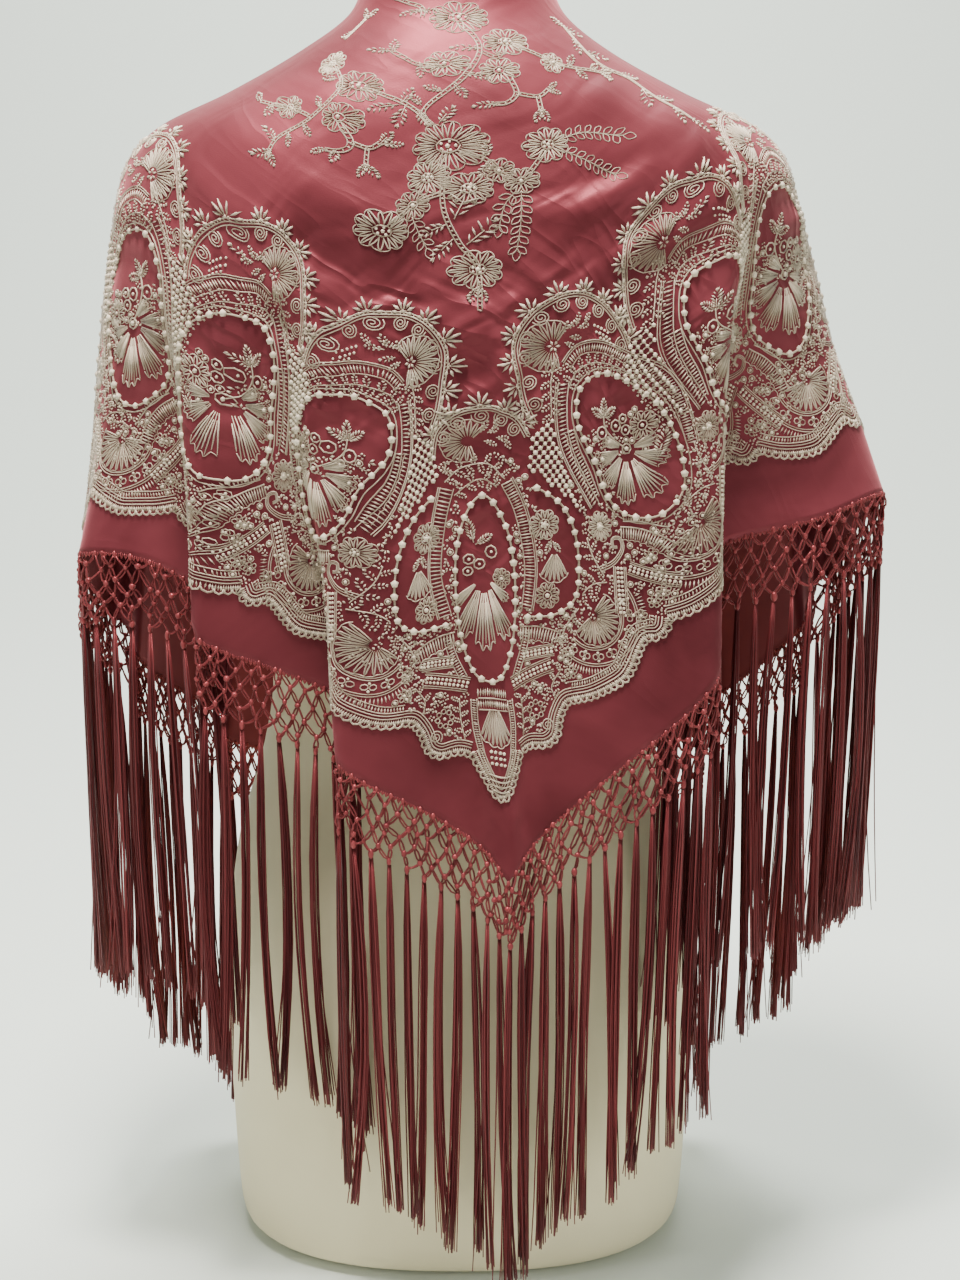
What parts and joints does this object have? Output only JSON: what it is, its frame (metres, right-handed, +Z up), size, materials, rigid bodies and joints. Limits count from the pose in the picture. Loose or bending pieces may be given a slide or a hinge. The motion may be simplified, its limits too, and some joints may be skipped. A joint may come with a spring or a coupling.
{
  "type": "flamenco shawl on a dress form",
  "caption": "Triangular embroidered shawl with a knotted net and long fringe, draped over the shoulders of a limbless dress form.",
  "frame": {"origin": "centre of the dress form's flat base", "axes": "+Z up along the form, -Y out of the wearer's back, where the shawl's point hangs, +X to the wearer's right, which is the right of the picture"},
  "size_m": [0.564, 0.3016, 0.948],
  "materials": {
    "rose_satin": "satin weave with a soft sheen",
    "rose_cord": "knotted and combed shiny thread",
    "cream_form": "smooth and matt"
  },
  "bodies": {
    "root": {"dress_form": "cream_form", "shawl_cloth": "rose_satin", "net_left": "rose_cord", "net_right": "rose_cord", "fringe_left": "rose_cord", "fringe_right": "rose_cord"}
  },
  "joints": []
}
